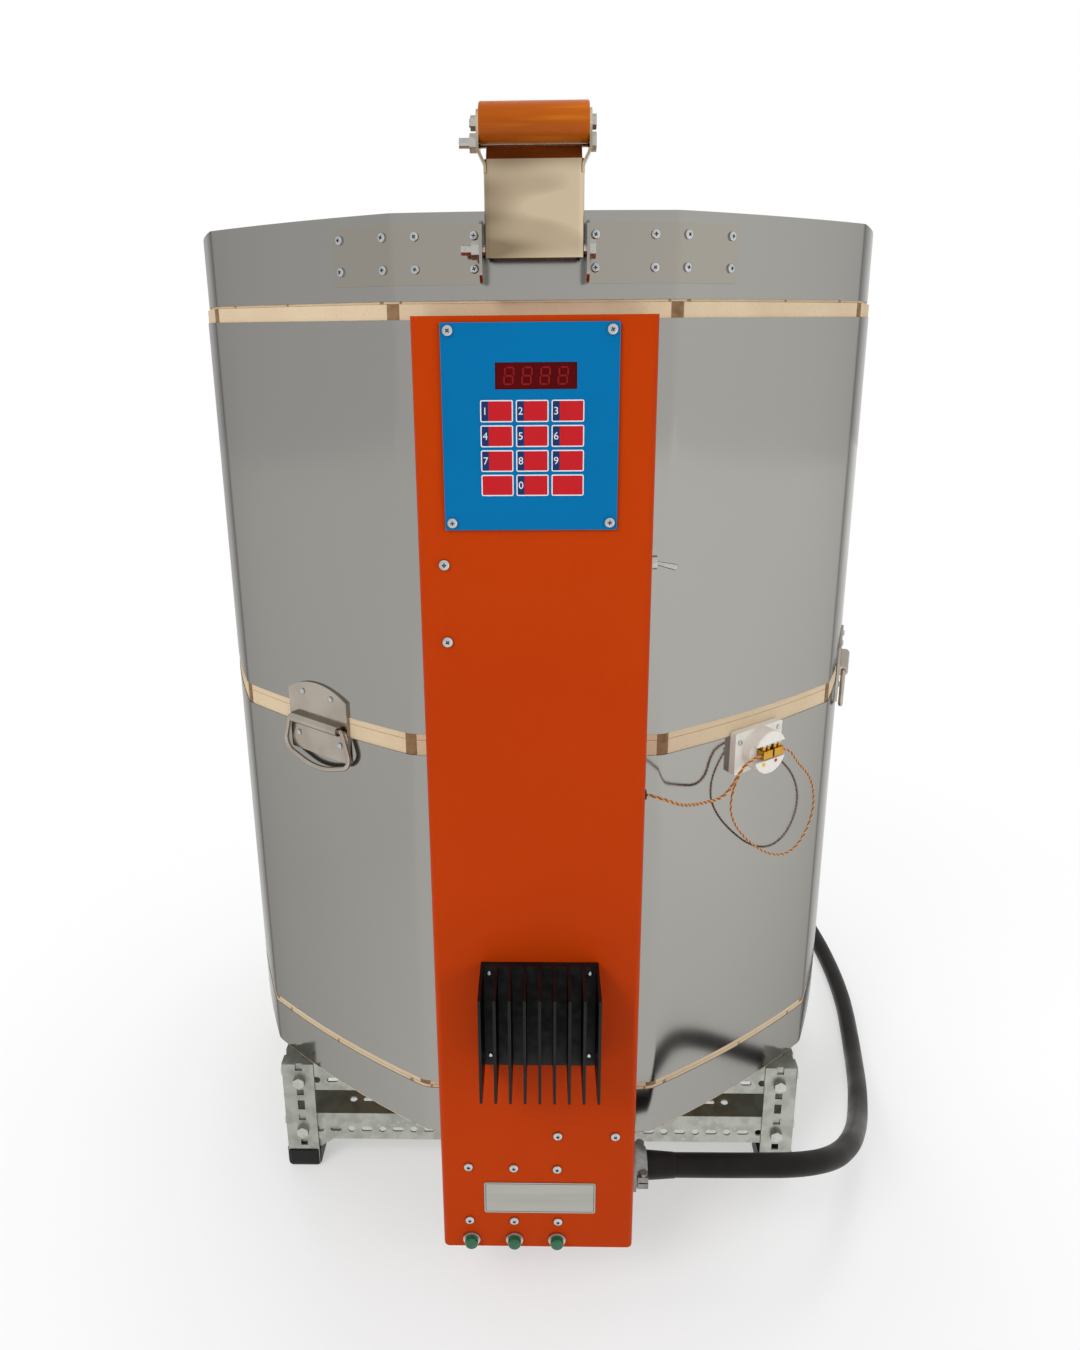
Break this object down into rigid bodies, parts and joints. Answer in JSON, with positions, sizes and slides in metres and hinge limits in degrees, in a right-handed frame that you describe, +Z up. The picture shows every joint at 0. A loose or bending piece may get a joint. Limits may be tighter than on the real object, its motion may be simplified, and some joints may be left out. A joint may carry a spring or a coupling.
{
  "type": "electric kiln",
  "caption": "Ten-sided electric pottery kiln in steel jackets on an angle-iron stand, with a hinged lid, folding lid handle and an orange control box.",
  "frame": {"origin": "on the floor under the middle of the footprint, mains cord left out", "axes": "+Z up, -Y the front with the control box, +X the side the mains cord leaves from"},
  "size_m": [0.8678, 1.098, 1.161],
  "materials": {
    "firebrick": "rough",
    "refractory_mortar": "rough",
    "stainless_steel": "polished",
    "zinc_plated_steel": "satin",
    "galvanised_steel": "spangled, satin",
    "orange_paint": "satin powder coat",
    "blue_plate": "satin print",
    "red_keys": "satin film",
    "red_window": "clear tinted",
    "green_lens": "clear tinted",
    "black_plastic": "satin",
    "circuit_board": "satin",
    "black_rubber": "matt",
    "black_anodised": "black anodised extrusion",
    "data_plate": "satin",
    "brass": "satin",
    "porcelain": "unglazed",
    "element_wire": "oxidised",
    "varnished_wood": "varnished",
    "lead_sleeve": "woven",
    "copper_iron": "lacquered"
  },
  "bodies": {
    "kiln": {"base_slab": "firebrick", "lower_ring_bricks": "firebrick", "upper_ring_bricks": "firebrick", "ring_mortar": "refractory_mortar", "base_band": "stainless_steel", "lower_jacket": "stainless_steel", "upper_jacket": "stainless_steel", "body_hinge_leaf": "stainless_steel", "handle_plates": "zinc_plated_steel", "body_screws": "zinc_plated_steel", "box_screws": "zinc_plated_steel", "hinge_pin": "zinc_plated_steel", "toggle_body": "zinc_plated_steel", "lamp_rings": "zinc_plated_steel", "cord_connector": "zinc_plated_steel", "box_back_pan": "galvanised_steel", "stand_legs": "galvanised_steel", "stand_rails": "galvanised_steel", "stand_gussets": "galvanised_steel", "stand_bolts": "zinc_plated_steel", "box_cover": "orange_paint", "controller_plate": "blue_plate", "keypad": "red_keys", "display_window": "red_window", "lamp_lenses": "green_lens", "controller_board": "circuit_board", "solid_state_relays": "black_plastic", "mains_terminal_block": "black_plastic", "control_transformer": "copper_iron", "rubber_feet": "black_rubber", "lead_grommet": "black_rubber", "power_cord": "black_rubber", "power_cord_coil": "black_rubber", "power_plug": "black_plastic", "plug_blades": "brass", "tail_connectors": "brass", "thermocouple_terminals": "brass", "heat_sink": "black_anodised", "data_plate": "data_plate", "element_bushings": "porcelain", "thermocouple_block": "porcelain", "thermocouple_tube": "porcelain", "heating_elements": "element_wire", "thermocouple_lead": "lead_sleeve"},
    "lid": {"lid_slab": "firebrick", "lid_band": "stainless_steel", "lid_plates": "stainless_steel", "lid_screws": "zinc_plated_steel", "lid_hinge_leaf": "stainless_steel", "handle_pivot_bolt": "zinc_plated_steel"},
    "lid_handle": {"handle_channel": "zinc_plated_steel", "wooden_grip": "varnished_wood", "handle_bolts": "zinc_plated_steel"},
    "bail_front_left": {"bail_front_left": "zinc_plated_steel"},
    "bail_right": {"bail_right": "zinc_plated_steel"},
    "bail_rear_right": {"bail_rear_right": "zinc_plated_steel"},
    "bail_left": {"bail_left": "zinc_plated_steel"},
    "toggle": {"toggle_lever": "zinc_plated_steel"}
  },
  "joints": [
    {"name": "lid_hinge", "type": "hinge", "parent": "kiln", "child": "lid", "pos_m": [0, 0.422, 1.01215], "axis": [-1, 0, 0], "range_deg": [0, 95]},
    {"name": "lid_handle_pivot", "type": "hinge", "parent": "lid", "child": "lid_handle", "pos_m": [0, -0.381, 1.0525], "axis": [1, 0, 0], "range_deg": [0, 90]},
    {"name": "bail_front_left_swing", "type": "hinge", "parent": "kiln", "child": "bail_front_left", "pos_m": [-0.22771, -0.29141, 0.603], "axis": [-0.809, 0.5878, 0], "range_deg": [0, 110]},
    {"name": "bail_right_swing", "type": "hinge", "parent": "kiln", "child": "bail_right", "pos_m": [0.36844, -0.09771, 0.603], "axis": [-0.309, -0.9511, 0], "range_deg": [0, 110]},
    {"name": "bail_rear_right_swing", "type": "hinge", "parent": "kiln", "child": "bail_rear_right", "pos_m": [0.22771, 0.33541, 0.603], "axis": [0.809, -0.5878, 0], "range_deg": [0, 110]},
    {"name": "bail_left_swing", "type": "hinge", "parent": "kiln", "child": "bail_left", "pos_m": [-0.36844, 0.14171, 0.603], "axis": [0.309, 0.9511, 0], "range_deg": [0, 110]},
    {"name": "toggle_flip", "type": "hinge", "parent": "kiln", "child": "toggle", "pos_m": [0.101, -0.403, 0.798], "axis": [0, -1, 0], "range_deg": [0, 26]}
  ]
}
